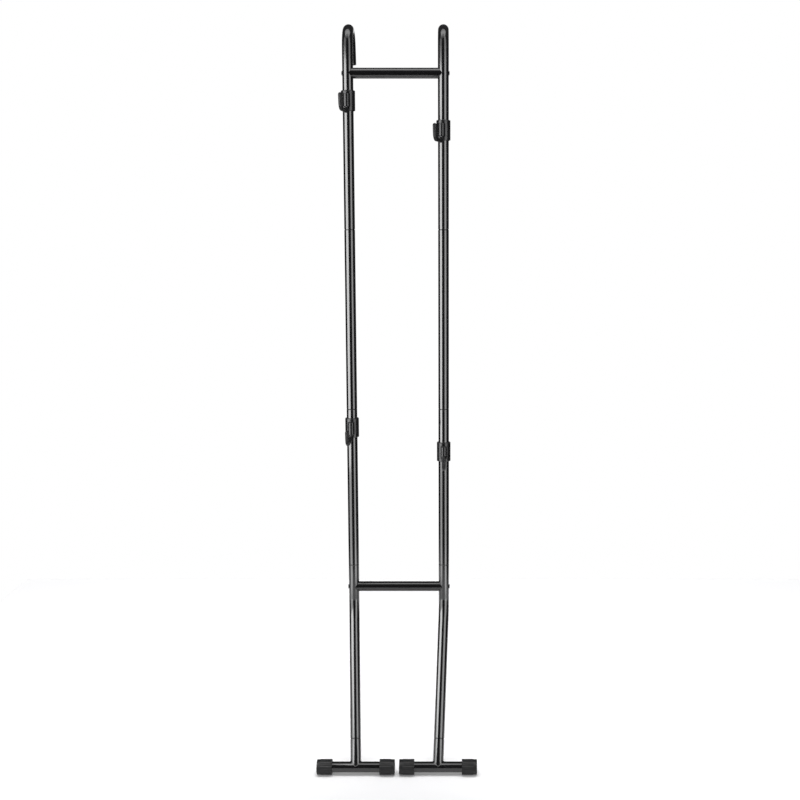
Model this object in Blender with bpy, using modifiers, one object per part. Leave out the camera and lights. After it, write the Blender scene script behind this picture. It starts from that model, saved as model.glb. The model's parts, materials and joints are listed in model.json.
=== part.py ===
# Two-bike stand of plugged steel tube. Two uprights, tied by two crossbars, curve back at the
# top like canes to rest against a wall, and bend forward near the floor onto T-shaped feet.
# Four clamps slide and swivel on the uprights, and each carries a sheathed J-shaped hook.
# Metres. X to the right, Y back towards the wall, Z up. The origin is at the middle of the
# stand's outline on the floor.

from math import atan2, cos, pi, radians, sin, tan

import bmesh
import bpy
from mathutils import Matrix, Vector

# Gap left between pieces that touch
GAP = 0.0003

# How far a cutter runs past what it cuts, as a share of its length
OVERCUT = 1.1
CROSS_CUT = 1.5

# Points closer than this are one, and edges steeper than these are sharp or square
MERGE_DISTANCE = 0.00001
SHARP_ANGLE = radians(32)
SQUARE_ANGLE = radians(60)

# Size at which the unseen carriers of the joints are drawn
EMPTY_SIZE = 0.05

# Upright tube, the same stock as the foot tubes
TUBE_R = 0.016
TUBE_WALL = 0.0015
TUBE_SIDES = 16
UPRIGHT_SPACING = 0.280

# Swaged neck on top of a tube section, which plugs into the section above
NECK_LENGTH = 0.060
SHOULDER_LENGTH = 0.002

# Section lengths, from the foot up
FOOT_FORWARD = 0.216
STUB_LENGTH = 0.083
BEND_HEIGHT = 0.447
BEND_R = 0.150
BEND_STEPS = 5
BEND_TO_JOINT = 0.144
LOWER_SECTION = 0.489
UPPER_SECTION = 0.541
CANE_STRAIGHT = 0.528

# Cane at the top
CANE_R = 0.055
CANE_ANGLE = radians(165)
CANE_TAIL = 0.050
CANE_STEPS = 10
PLUG_FLANGE = 0.0025
PLUG_EDGE = 0.001
PLUG_LENGTH = 0.014

# Feet and their rubber caps
FOOT_LENGTH = 0.234
FEET_APART = 0.013
CAP_WALL = 0.007
CAP_LENGTH = 0.0455
CAP_END = 0.0045
CAP_RIBS = 16
CAP_RIB_STEPS = 3
CAP_RIB_HEIGHT = 0.0012
CAP_BAND = 0.0105
CAP_CHAMFER = 0.0022

# Crossbars, the screws through the uprights and the inserts they thread into
CROSSBAR_R = 0.0155
CROSSBAR_WALL = 0.0015
CROSSBAR_BELOW_TOP = 0.146
CROSSBAR_ABOVE_BEND = 0.071
INSERT_LENGTH = 0.024
SCREW_R = 0.004
SCREW_GRIP = 0.018
SCREW_HEAD_R = 0.0068
SCREW_HEAD_HEIGHT = 0.0022
SCREW_RIM_SHARE = 0.35
SCREW_DOME_TURNS = (0, 0.6, 1.1, pi / 2)
HOLE_SIDES = 8
SCREW_SIDES = 10
SCREW_HEAD_SIDES = 12

# Clamp that grips the upright through a thin split liner
LINER_WALL = 0.0012
LINER_LIP = 0.001
CLAMP_WALL = 0.0027
CLAMP_HEIGHT = 0.058
CLAMP_EDGE = 0.0015
CLAMP_SIDES = 24
CLAMP_SLIT = 0.0025
LUG_THICKNESS = 0.0065
LUG_REACH = 0.015
LUG_HEIGHT = 0.046
LUG_CORNER_R = 0.006
LUG_CORNER_STEPS = 3
BOSS_R = 0.0095
BOSS_NOSE_STEPS = 8
BOSS_BELOW_RIM = 0.010
BOSS_EDGE = 0.003
BOSS_EDGE_STEPS = 2

# Pinch screws that draw the clamp's two lugs together
PINCH_R = 0.003
PINCH_SPACING = 0.026
PINCH_HEAD_R = 0.005
PINCH_HEAD_HEIGHT = 0.0055
PINCH_HEAD_EDGE = 0.0006
PINCH_NUT_ACROSS_FLATS = 0.010
PINCH_NUT_HEIGHT = 0.005
PINCH_NUT_SIDES = 6
PINCH_TAIL = 0.0015

# J-shaped hook rod in its soft sheath
ROD_R = 0.0045
ROD_SIDES = 8
ROD_TAPER = 0.0022
SHEATH_WALL = 0.0014
SHEATH_SIDES = 12
SHEATH_TIP = 0.003
SHEATH_DOME_TURNS = (radians(35), radians(62), radians(82))
HOOK_REACH = 0.132
HOOK_DROP = 0.003
HOOK_BACK_BEND_R = 0.012
HOOK_BACK_BEND_STEPS = 4
HOOK_BEND_BELOW_BOSS = 0.002
HOOK_TIP_BEND_R = 0.020
HOOK_TIP_BEND_STEPS = 5
HOOK_TIP_LEAN = radians(9)
HOOK_TIP_BELOW_RIM = 0.017
SHANK_CLEARANCE = 0.0005
SHANK_BELOW_BOSS_TOP = 0.005

# The four clamps: side, distance up from the upper crossbar or the middle joint, and swivel
ARMS = {
    "upper_left": (-1, "crossbar", -0.079, -5.0),
    "upper_right": (1, "crossbar", -0.164, -10.5),
    "lower_left": (-1, "joint", -0.058, -2.0),
    "lower_right": (1, "joint", -0.133, 0.5),
}

# Sizes that follow from those above
FOOT_SPACING = FOOT_LENGTH + FEET_APART
BORE_R = TUBE_R - TUBE_WALL
TUBE_FLAT = cos(pi / TUBE_SIDES)
NECK_R = BORE_R * TUBE_FLAT - GAP
CAP_R = TUBE_R + CAP_WALL
CAP_STEP = 2 * pi / (CAP_RIB_STEPS * CAP_RIBS)
FOOT_AXIS_Z = CAP_R * cos(CAP_STEP / 2)
LINER_IN_R = (TUBE_R + GAP) / cos(pi / CLAMP_SIDES)
LINER_OUT_R = LINER_IN_R + LINER_WALL
CLAMP_BORE_R = (LINER_OUT_R + GAP) / cos(pi / CLAMP_SIDES)
CLAMP_R = CLAMP_BORE_R + CLAMP_WALL
SHEATH_IN_R = ROD_R + GAP / cos(pi / ROD_SIDES)
SHEATH_R = ROD_R + SHEATH_WALL
SHANK_Y = -(CLAMP_R + SHANK_CLEARANCE + SHEATH_R)
ARM_Z = -CLAMP_HEIGHT / 2 - HOOK_DROP
BOSS_BOTTOM = ARM_Z + HOOK_BACK_BEND_R + HOOK_BEND_BELOW_BOSS
BOSS_TOP = CLAMP_HEIGHT / 2 - BOSS_BELOW_RIM
TIP_TOP = CLAMP_HEIGHT / 2 - HOOK_TIP_BELOW_RIM
LUG_OUT_X = CLAMP_SLIT / 2 + LUG_THICKNESS
PINCH_Y = CLAMP_R + LUG_REACH / 2

LOWER_JOINT_Z = BEND_HEIGHT + BEND_TO_JOINT
MIDDLE_JOINT_Z = LOWER_JOINT_Z + LOWER_SECTION
UPPER_JOINT_Z = MIDDLE_JOINT_Z + UPPER_SECTION
CANE_START_Z = UPPER_JOINT_Z + CANE_STRAIGHT
TOP_Z = CANE_START_Z + CANE_R + TUBE_R
UPPER_CROSSBAR_Z = TOP_Z - CROSSBAR_BELOW_TOP
LOWER_CROSSBAR_Z = BEND_HEIGHT + CROSSBAR_ABOVE_BEND

CANE_BACK = (
    CANE_R * (1 - cos(CANE_ANGLE))
    + (CANE_TAIL + GAP + PLUG_FLANGE) * sin(CANE_ANGLE)
    - TUBE_R * cos(CANE_ANGLE)
)
UPRIGHT_Y = (FOOT_FORWARD + CAP_R - CANE_BACK) / 2
FOOT_Y = UPRIGHT_Y - FOOT_FORWARD

UP = Vector((0, 0, 1))
BACK = Vector((0, 1, 0))
TIP_LINE = UP * cos(HOOK_TIP_LEAN) - BACK * sin(HOOK_TIP_LEAN)


def start_scene():
    """Empty the file and make a collection for the stand and one for the cutters."""
    for item in list(bpy.data.objects):
        bpy.data.objects.remove(item)
    groups = []
    for name in ("bike_stand", "cutters"):
        group = bpy.data.collections.new(name)
        bpy.context.scene.collection.children.link(group)
        groups.append(group)
    return groups


PARTS, CUTTERS = start_scene()


def finish(name, color, roughness, metallic):
    """One plain Principled finish."""
    material = bpy.data.materials.new(name)
    material.use_nodes = True
    shader = material.node_tree.nodes["Principled BSDF"]
    shader.inputs["Base Color"].default_value = (*color, 1)
    shader.inputs["Roughness"].default_value = roughness
    shader.inputs["Metallic"].default_value = metallic
    return material


FINISHES = {
    "tube": ((0.010, 0.010, 0.011), 0.18, 0.0),
    "clamp": ((0.018, 0.018, 0.020), 0.45, 0.0),
    "liner": ((0.030, 0.030, 0.032), 0.50, 0.0),
    "sheath": ((0.015, 0.015, 0.016), 0.60, 0.0),
    "cap": ((0.050, 0.050, 0.053), 0.75, 0.0),
    "plug": ((0.025, 0.025, 0.027), 0.55, 0.0),
    "black_screw": ((0.020, 0.020, 0.022), 0.35, 1.0),
    "steel": ((0.450, 0.450, 0.460), 0.35, 1.0),
}


def place(name, mesh, kind, parent=None, matrix=None):
    """Put a finished mesh in the stand as its own named object."""
    mesh = mesh.copy() if mesh.users else mesh
    mesh.materials.clear()
    mesh.materials.append(finish(name, *FINISHES[kind]))
    mesh.shade_smooth()
    mesh.set_sharp_from_angle(angle=SHARP_ANGLE)
    item = bpy.data.objects.new(name, mesh)
    PARTS.objects.link(item)
    item.parent = parent
    item.matrix_basis = matrix or Matrix()
    return item


def spare(mesh, name="cutter", matrix=None):
    """A cutter or a temporary body, which is no piece of the stand."""
    item = bpy.data.objects.new(name, mesh)
    CUTTERS.objects.link(item)
    item.hide_render = True
    item.display_type = "WIRE"
    item.matrix_basis = matrix or Matrix()
    return item


def combine(item, other, operation="DIFFERENCE"):
    """Cut the other body away from an object, or join it on."""
    step = item.modifiers.new(operation.lower(), "BOOLEAN")
    step.object = other
    step.operation = operation
    step.solver = "EXACT"
    return item


def baked(item):
    """The mesh of an object with its modifiers applied. The object itself goes."""
    bpy.context.view_layer.update()
    graph = bpy.context.evaluated_depsgraph_get()
    mesh = bpy.data.meshes.new_from_object(item.evaluated_get(graph))
    bpy.data.objects.remove(item)
    return mesh


def weld(mesh, distance=MERGE_DISTANCE):
    """Merge the doubled points of a curve's caps and point the faces out."""
    shape = bmesh.new()
    shape.from_mesh(mesh)
    bmesh.ops.remove_doubles(shape, verts=shape.verts, dist=distance)
    bmesh.ops.recalc_face_normals(shape, faces=shape.faces)
    shape.to_mesh(mesh)
    shape.free()
    return mesh


def swept(stations, sides, capped):
    """Sweep a round section through stations, each a point and a radius."""
    curve = bpy.data.curves.new("route", "CURVE")
    curve.dimensions = "3D"
    curve.bevel_depth = stations[0][1]
    curve.bevel_resolution = sides // 2 - 2
    curve.use_fill_caps = capped
    line = curve.splines.new("POLY")
    line.points.add(len(stations) - 1)
    for point, (place_at, radius) in zip(line.points, stations):
        point.co = (*place_at, 1)
        point.radius = radius / curve.bevel_depth
    return weld(baked(spare(curve)))


def solid_rod(stations, sides):
    return swept(stations, sides, True)


def tube(name, stations, sides=TUBE_SIDES, wall=TUBE_WALL):
    """A hollow steel tube through the stations, open at both ends."""
    item = place(name, swept(stations, sides, False), "tube")
    skin = item.modifiers.new("wall", "SOLIDIFY")
    skin.thickness = wall
    skin.offset = -1
    skin.use_even_offset = True
    skin.use_rim = True
    return item


def cylinder(radius, start, end, sides):
    """A closed cylinder from start to end."""
    axis = Vector(end) - Vector(start)
    shape = bmesh.new()
    bmesh.ops.create_cone(
        shape, cap_ends=True, segments=sides, radius1=radius, radius2=radius, depth=axis.length
    )
    turn = UP.rotation_difference(axis).to_matrix().to_4x4()
    middle = Matrix.Translation((Vector(start) + Vector(end)) / 2)
    bmesh.ops.transform(shape, matrix=middle @ turn, verts=shape.verts)
    return made(shape)


def block(size, centre):
    """A closed box."""
    shape = bmesh.new()
    bmesh.ops.create_cube(shape, size=1)
    bmesh.ops.scale(shape, vec=size, verts=shape.verts)
    bmesh.ops.translate(shape, vec=centre, verts=shape.verts)
    return made(shape)


def made(shape):
    """Turn an edited shape into a mesh with its faces pointing out."""
    bmesh.ops.recalc_face_normals(shape, faces=shape.faces)
    mesh = bpy.data.meshes.new("shape")
    shape.to_mesh(mesh)
    shape.free()
    return mesh


def plate(outline, thickness, matrix):
    """A flat outline in X and Y, made solid to both sides of its plane."""
    curve = bpy.data.curves.new("outline", "CURVE")
    curve.dimensions = "2D"
    curve.fill_mode = "BOTH"
    curve.extrude = thickness / 2
    line = curve.splines.new("POLY")
    line.points.add(len(outline) - 1)
    line.use_cyclic_u = True
    for point, (x, y) in zip(line.points, outline):
        point.co = (x, y, 0, 1)
    mesh = weld(baked(spare(curve)))
    mesh.transform(matrix)
    return mesh


def turned(profile, sides):
    """Turn a profile of radius and height, listed from top to bottom, about Z."""
    mesh = bpy.data.meshes.new("profile")
    mesh.from_pydata([(r, 0, z) for r, z in profile], [(i, i + 1) for i in range(len(profile) - 1)], [])
    item = spare(mesh)
    spin = item.modifiers.new("turn", "SCREW")
    spin.steps = sides
    spin.render_steps = sides
    spin.use_merge_vertices = True
    spin.merge_threshold = MERGE_DISTANCE
    return weld(baked(item))


def arc(centre, first, onward, radius, angle, steps):
    """Points on an arc that leaves centre + first * radius in the direction onward."""
    turns = [angle * i / steps for i in range(steps + 1)]
    return [centre + (first * cos(t) + onward * sin(t)) * radius for t in turns]


def corner(point, towards, away, radius, steps):
    """An arc that rounds the corner at a point between two directions."""
    angle = towards.angle(away)
    inward = (away - towards * towards.dot(away)).normalized()
    centre = point - towards * radius * tan(angle / 2) + inward * radius
    return arc(centre, -inward, towards, radius, angle, steps)


def neck(base, direction, radius=TUBE_R):
    """Stations of a swaged neck whose shoulder ends at the point base."""
    return [
        (base - direction * SHOULDER_LENGTH, radius),
        (base, NECK_R),
        (base + direction * NECK_LENGTH, NECK_R),
    ]


def hole_radius(screw_radius):
    """Radius of a drilled hole whose flats clear a screw by the gap."""
    return (screw_radius + GAP) / cos(pi / HOLE_SIDES)


def drill(item, start, end, radius):
    """Drill a round hole through a piece."""
    return combine(item, spare(cylinder(radius, start, end, HOLE_SIDES)))


def leg_line(side):
    """The foot's centre, the leg's bend and the direction from one to the other."""
    foot = Vector((side * FOOT_SPACING / 2, FOOT_Y, FOOT_AXIS_Z))
    bend = Vector((side * UPRIGHT_SPACING / 2, UPRIGHT_Y, BEND_HEIGHT))
    return foot, bend, (bend - foot).normalized()


def build_foot(name, side):
    """T-shaped foot: a short stub with a neck, welded to a tube that lies across."""
    foot, _, rise = leg_line(side)
    half = Vector((FOOT_LENGTH / 2 - CAP_END - GAP, 0, 0))
    body = spare(cylinder(TUBE_R, foot - half, foot + half, TUBE_SIDES), "foot_body")
    top = foot + rise * STUB_LENGTH
    stub = [(foot, TUBE_R)] + neck(top, rise)
    combine(body, spare(solid_rod(stub, TUBE_SIDES)), "UNION")
    combine(body, spare(cylinder(BORE_R, foot - half * OVERCUT, foot + half * OVERCUT, TUBE_SIDES)))
    hollow = [
        (foot + rise * (TUBE_R + TUBE_WALL), BORE_R),
        (top - rise * (SHOULDER_LENGTH + TUBE_WALL), BORE_R),
        (top, NECK_R - TUBE_WALL),
        (top + rise * NECK_LENGTH * OVERCUT, NECK_R - TUBE_WALL),
    ]
    combine(body, spare(solid_rod(hollow, TUBE_SIDES)))
    return place(name, baked(body), "tube")


def build_leg(name, side):
    """Leg tube: socketed over the foot's stub, bent to the vertical, necked on top."""
    foot, bend, rise = leg_line(side)
    start = foot + rise * STUB_LENGTH
    top = Vector((bend.x, bend.y, LOWER_JOINT_Z))
    route = [(start, TUBE_R)]
    route += [(point, TUBE_R) for point in corner(bend, rise, UP, BEND_R, BEND_STEPS)]
    leg = tube(name, route + neck(top, UP))
    return drill_for_crossbar(leg, side, LOWER_CROSSBAR_Z)


def build_section(name, side, bottom, top):
    """Straight middle tube, open below and necked on top."""
    base = Vector((side * UPRIGHT_SPACING / 2, UPRIGHT_Y, 0))
    return tube(name, [(base + UP * bottom, TUBE_R)] + neck(base + UP * top, UP))


def cane_end(side):
    """Where the cane's tube ends and the direction it ends in."""
    base = Vector((side * UPRIGHT_SPACING / 2, UPRIGHT_Y, CANE_START_Z))
    bend = arc(base + BACK * CANE_R, -BACK, UP, CANE_R, CANE_ANGLE, CANE_STEPS)
    tail = BACK * sin(CANE_ANGLE) + UP * cos(CANE_ANGLE)
    return bend, bend[-1] + tail * CANE_TAIL, tail


def build_cane(name, side):
    """Top tube: straight, then curved back and down towards the wall."""
    bend, end, _ = cane_end(side)
    base = Vector((side * UPRIGHT_SPACING / 2, UPRIGHT_Y, UPPER_JOINT_Z))
    route = [(point, TUBE_R) for point in [base] + bend + [end]]
    return drill_for_crossbar(tube(name, route), side, UPPER_CROSSBAR_Z)


def drill_for_crossbar(item, side, height):
    """A hole through both walls of an upright for the crossbar's screw."""
    middle = Vector((side * UPRIGHT_SPACING / 2, UPRIGHT_Y, height))
    reach = Vector((TUBE_R * CROSS_CUT, 0, 0))
    return drill(item, middle - reach, middle + reach, hole_radius(SCREW_R))


def build_plug(name, side):
    """Plug that closes the cane's lower end."""
    _, end, tail = cane_end(side)
    profile = [
        (0, PLUG_LENGTH),
        (NECK_R, PLUG_LENGTH),
        (NECK_R, 0),
        (TUBE_R, 0),
        (TUBE_R, PLUG_EDGE - PLUG_FLANGE),
        (TUBE_R - PLUG_EDGE, -PLUG_FLANGE),
        (0, -PLUG_FLANGE),
    ]
    turn = UP.rotation_difference(-tail).to_matrix().to_4x4()
    seat = Matrix.Translation(end + tail * GAP)
    return place(name, turned(profile, TUBE_SIDES), "plug", matrix=seat @ turn)


def build_crossbar(name, height):
    """Crossbar with both ends coped to sit round the uprights."""
    half = Vector((UPRIGHT_SPACING / 2, 0, 0))
    middle = Vector((0, UPRIGHT_Y, height))
    body = spare(cylinder(CROSSBAR_R, middle - half, middle + half, TUBE_SIDES), "crossbar_body")
    bore = CROSSBAR_R - CROSSBAR_WALL
    combine(body, spare(cylinder(bore, middle - half * OVERCUT, middle + half * OVERCUT, TUBE_SIDES)))
    for side in (-1, 1):
        foot = middle + half * side
        reach = UP * CROSSBAR_R * CROSS_CUT
        cope = (TUBE_R + GAP) / cos(pi / (2 * TUBE_SIDES))
        combine(body, spare(cylinder(cope, foot - reach, foot + reach, 2 * TUBE_SIDES)))
    return place(name, baked(body), "tube")


def build_insert(name, side, height):
    """Threaded insert pressed into one end of a crossbar."""
    radius = (CROSSBAR_R - CROSSBAR_WALL) * TUBE_FLAT - GAP
    face = Vector((side * (UPRIGHT_SPACING / 2 - TUBE_R - GAP), UPRIGHT_Y, height))
    inner = face - Vector((side * INSERT_LENGTH, 0, 0))
    body = spare(cylinder(radius, face, inner, TUBE_SIDES))
    reach = (face - inner) * (OVERCUT - 1)
    drill(body, face + reach, inner - reach, hole_radius(SCREW_R))
    return place(name, baked(body), "steel")


def build_crossbar_screw(name, side, height):
    """Low domed screw that passes through an upright into the crossbar's insert."""
    length = 2 * (TUBE_R + GAP) + SCREW_GRIP
    rim = SCREW_HEAD_HEIGHT * SCREW_RIM_SHARE
    rise = SCREW_HEAD_HEIGHT - rim
    dome = [(SCREW_HEAD_R * sin(t), rim + rise * cos(t)) for t in SCREW_DOME_TURNS]
    profile = dome + [(SCREW_HEAD_R, 0), (SCREW_R, 0), (SCREW_R, -length), (0, -length)]
    seat = Matrix.Translation((side * (UPRIGHT_SPACING / 2 + TUBE_R + GAP), UPRIGHT_Y, height))
    turn = UP.rotation_difference(Vector((side, 0, 0))).to_matrix().to_4x4()
    return place(name, turned(profile, SCREW_HEAD_SIDES), "black_screw", matrix=seat @ turn)


def cap_radius(along, step):
    """The cap's radius at a distance from its mouth and a number of steps round it."""
    if along > CAP_LENGTH - CAP_CHAMFER / 2:
        return CAP_R - CAP_CHAMFER
    if along > CAP_LENGTH - CAP_BAND - CAP_RIB_HEIGHT / 4:
        return CAP_R - CAP_RIB_HEIGHT / 2
    return CAP_R - CAP_RIB_HEIGHT if step % CAP_RIB_STEPS == 1 else CAP_R


def build_cap_mesh():
    """Ribbed rubber cap that opens at X = 0, with the flat top of one rib facing down."""
    shape = bmesh.new()
    bmesh.ops.create_cone(
        shape, cap_ends=True, segments=CAP_RIB_STEPS * CAP_RIBS, radius1=CAP_R, radius2=CAP_R,
        depth=CAP_LENGTH
    )
    bmesh.ops.translate(shape, vec=(0, 0, CAP_LENGTH / 2), verts=shape.verts)
    step = CAP_RIB_HEIGHT / 2
    band = CAP_LENGTH - CAP_BAND
    for along in (band - step, band, CAP_LENGTH - CAP_CHAMFER):
        everything = shape.verts[:] + shape.edges[:] + shape.faces[:]
        bmesh.ops.bisect_plane(shape, geom=everything, plane_co=(0, 0, along), plane_no=UP)
    for vert in shape.verts:
        step = round(atan2(vert.co.y, vert.co.x) / CAP_STEP)
        radius = cap_radius(vert.co.z, step)
        vert.co.x = radius * cos((step + 0.5) * CAP_STEP)
        vert.co.y = radius * sin((step + 0.5) * CAP_STEP)
    body = spare(made(shape))
    bore = (TUBE_R + GAP) / TUBE_FLAT
    combine(body, spare(cylinder(bore, (0, 0, -CAP_END), (0, 0, CAP_LENGTH - CAP_END), TUBE_SIDES)))
    mesh = baked(body)
    mesh.transform(Matrix.Rotation(pi / 2, 4, "Y"))
    return mesh


def build_cap(name, mesh, side, outward):
    """A cap on one end of a foot's tube."""
    foot, _, _ = leg_line(side)
    mouth = foot + Vector((outward * (FOOT_LENGTH / 2 - CAP_LENGTH), 0, 0))
    turn = Matrix.Rotation(0 if outward > 0 else pi, 4, "Z")
    return place(name, mesh, "cap", matrix=Matrix.Translation(mouth) @ turn)


def build_liner_mesh():
    """Thin split sleeve between the upright and the clamp."""
    half = UP * (CLAMP_HEIGHT / 2 + LINER_LIP)
    body = spare(cylinder(LINER_OUT_R, -half, half, CLAMP_SIDES))
    combine(body, spare(cylinder(LINER_IN_R, -half * OVERCUT, half * OVERCUT, CLAMP_SIDES)))
    combine(body, spare(block((CLAMP_SLIT, LINER_OUT_R * 2, half.z * 2 * OVERCUT), (0, LINER_OUT_R, 0))))
    return baked(body)


def boss_mesh():
    """Round-nosed boss on the clamp's front that holds the hook's shank."""
    nose = arc(Vector((0, SHANK_Y, 0)), Vector((1, 0, 0)), -BACK, BOSS_R, pi, BOSS_NOSE_STEPS)
    outline = [(p.x, p.y) for p in nose] + [(-BOSS_R, -CLAMP_BORE_R), (BOSS_R, -CLAMP_BORE_R)]
    height = BOSS_TOP - BOSS_BOTTOM
    mesh = plate(outline, height, Matrix.Translation((0, 0, (BOSS_TOP + BOSS_BOTTOM) / 2)))
    shape = bmesh.new()
    shape.from_mesh(mesh)
    top = [e for e in shape.edges if all(v.co.z > BOSS_TOP - GAP for v in e.verts)]
    rim = [e for e in top if e.calc_face_angle(0) > SQUARE_ANGLE]
    bmesh.ops.bevel(
        shape, geom=rim, offset=BOSS_EDGE, segments=BOSS_EDGE_STEPS, affect="EDGES", profile=0.5
    )
    return made(shape)


def lug_mesh():
    """Block behind the clamp that the slit parts into two lugs."""
    back = CLAMP_R + LUG_REACH
    high = LUG_HEIGHT / 2
    inner = LUG_CORNER_R
    middle = Vector((back - inner, high - inner, 0))
    upper = arc(middle, Vector((1, 0, 0)), BACK, inner, pi / 2, LUG_CORNER_STEPS)
    right = [(p.x, p.y) for p in upper]
    outline = right + [(CLAMP_BORE_R, high), (CLAMP_BORE_R, -high)] + [(x, -y) for x, y in reversed(right)]
    stand_up = Matrix(((0, 0, 1, 0), (1, 0, 0, 0), (0, 1, 0, 0), (0, 0, 0, 1)))
    return plate(outline, 2 * LUG_OUT_X, stand_up)


def build_clamp_mesh():
    """Moulded clamp: a split sleeve, the hook's boss in front and two lugs behind."""
    half = CLAMP_HEIGHT / 2
    profile = [
        (0, half),
        (CLAMP_R - CLAMP_EDGE, half),
        (CLAMP_R, half - CLAMP_EDGE),
        (CLAMP_R, CLAMP_EDGE - half),
        (CLAMP_R - CLAMP_EDGE, -half),
        (0, -half),
    ]
    body = spare(turned(profile, CLAMP_SIDES), "clamp_body")
    combine(body, spare(boss_mesh()), "UNION")
    combine(body, spare(lug_mesh()), "UNION")
    combine(body, spare(cylinder(CLAMP_BORE_R, -UP * half * OVERCUT, UP * half * OVERCUT, CLAMP_SIDES)))
    slit_end = CLAMP_R + LUG_REACH * OVERCUT
    slit_size = (CLAMP_SLIT, slit_end, CLAMP_HEIGHT * OVERCUT)
    combine(body, spare(block(slit_size, (0, slit_end / 2, 0))))
    shank = Vector((0, SHANK_Y, 0))
    hole = (ROD_R + GAP) / cos(pi / ROD_SIDES)
    shank_top = UP * (BOSS_TOP - SHANK_BELOW_BOSS_TOP + GAP)
    below = UP * (BOSS_BOTTOM - BOSS_R)
    combine(body, spare(cylinder(hole, shank + below, shank + shank_top, ROD_SIDES)))
    reach = Vector((LUG_OUT_X * OVERCUT, 0, 0))
    for end in (-1, 1):
        drill(body, pinch_place(end) - reach, pinch_place(end) + reach, hole_radius(PINCH_R))
    return baked(body)


def pinch_place(end):
    """The middle of the upper or the lower pinch screw, in the clamp's own frame."""
    return Vector((0, PINCH_Y, end * PINCH_SPACING / 2))


def build_pinch_screw_mesh():
    """Cap screw through the two lugs, with its head on the right."""
    top = PINCH_HEAD_HEIGHT
    grip = 2 * LUG_OUT_X + 2 * GAP + PINCH_NUT_HEIGHT + PINCH_TAIL
    profile = [
        (0, top),
        (PINCH_HEAD_R - PINCH_HEAD_EDGE, top),
        (PINCH_HEAD_R, top - PINCH_HEAD_EDGE),
        (PINCH_HEAD_R, 0),
        (PINCH_R, 0),
        (PINCH_R, -grip),
        (0, -grip),
    ]
    mesh = turned(profile, SCREW_SIDES)
    seat = Matrix.Translation((LUG_OUT_X + GAP, 0, 0))
    mesh.transform(seat @ Matrix.Rotation(pi / 2, 4, "Y"))
    return mesh


def build_pinch_nut_mesh():
    """Hexagon nut on a pinch screw's left end."""
    radius = PINCH_NUT_ACROSS_FLATS / 2 / cos(pi / PINCH_NUT_SIDES)
    inner = Vector((-LUG_OUT_X - GAP, 0, 0))
    outer = inner - Vector((PINCH_NUT_HEIGHT, 0, 0))
    body = spare(cylinder(radius, inner, outer, PINCH_NUT_SIDES))
    return baked(drill(body, inner / 2, outer * CROSS_CUT, hole_radius(PINCH_R)))


def hook_route(start_z, end_z):
    """The hook's centre line: down out of the boss, forward, and up into the leaning tip."""
    turn = pi / 2 - HOOK_TIP_LEAN
    back_centre = Vector((0, SHANK_Y - HOOK_BACK_BEND_R, ARM_Z + HOOK_BACK_BEND_R))
    tip_end = Vector((0, -HOOK_REACH, TIP_TOP))
    bend_top = ARM_Z + HOOK_TIP_BEND_R * (1 - cos(turn))
    bend_end = tip_end - TIP_LINE * (TIP_TOP - bend_top) / TIP_LINE.z
    tip_centre = bend_end + BACK * HOOK_TIP_BEND_R * sin(turn)
    tip_centre.z = ARM_Z + HOOK_TIP_BEND_R
    route = [Vector((0, SHANK_Y, start_z))]
    route += arc(back_centre, BACK, -UP, HOOK_BACK_BEND_R, pi / 2, HOOK_BACK_BEND_STEPS)
    route += arc(tip_centre, -UP, -BACK, HOOK_TIP_BEND_R, turn, HOOK_TIP_BEND_STEPS)
    return route + [tip_end - TIP_LINE * (TIP_TOP - end_z) / TIP_LINE.z]


def tapered(route, radius, cut):
    """Stations along a route that narrow at its far end by the cut given."""
    stations = [(point, radius) for point in route]
    stations[-1] = (route[-1] - TIP_LINE * ROD_TAPER, radius)
    return stations + [(route[-1], radius - cut)]


def build_rod_mesh():
    """Steel rod of the hook, chamfered at its tip."""
    top = BOSS_TOP - SHANK_BELOW_BOSS_TOP
    route = hook_route(top, TIP_TOP - SHEATH_TIP - GAP)
    return solid_rod(tapered(route, ROD_R, ROD_TAPER), ROD_SIDES)


def build_sheath_mesh():
    """Soft sheath over the hook's arm and tip, closed and rounded at the top."""
    mouth = BOSS_BOTTOM - GAP
    route = hook_route(mouth, TIP_TOP - SHEATH_R)
    outer = [(point, SHEATH_R) for point in route]
    for turn in SHEATH_DOME_TURNS:
        outer.append((route[-1] + TIP_LINE * SHEATH_R * sin(turn), SHEATH_R * cos(turn)))
    hollow = tapered(hook_route(mouth + SHEATH_R, TIP_TOP - SHEATH_TIP), SHEATH_IN_R, ROD_TAPER)
    body = spare(solid_rod(outer, SHEATH_SIDES))
    combine(body, spare(solid_rod(hollow, ROD_SIDES)))
    return baked(body)


def empty(name, parent, matrix):
    """An unseen carrier on a joint's axis."""
    item = bpy.data.objects.new(name, None)
    PARTS.objects.link(item)
    item.empty_display_size = EMPTY_SIZE
    item.parent = parent
    item.matrix_basis = matrix
    return item


def build_uprights():
    for label, side in (("left", -1), ("right", 1)):
        build_foot(f"foot_{label}", side)
        build_leg(f"leg_tube_{label}", side)
        build_section(f"lower_middle_tube_{label}", side, LOWER_JOINT_Z, MIDDLE_JOINT_Z)
        build_section(f"upper_middle_tube_{label}", side, MIDDLE_JOINT_Z, UPPER_JOINT_Z)
        build_cane(f"cane_tube_{label}", side)
        build_plug(f"cane_plug_{label}", side)


def build_caps():
    mesh = build_cap_mesh()
    for label, side in (("left", -1), ("right", 1)):
        for place_name, outward in (("outer", side), ("inner", -side)):
            build_cap(f"foot_cap_{label}_{place_name}", mesh, side, outward)


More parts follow.
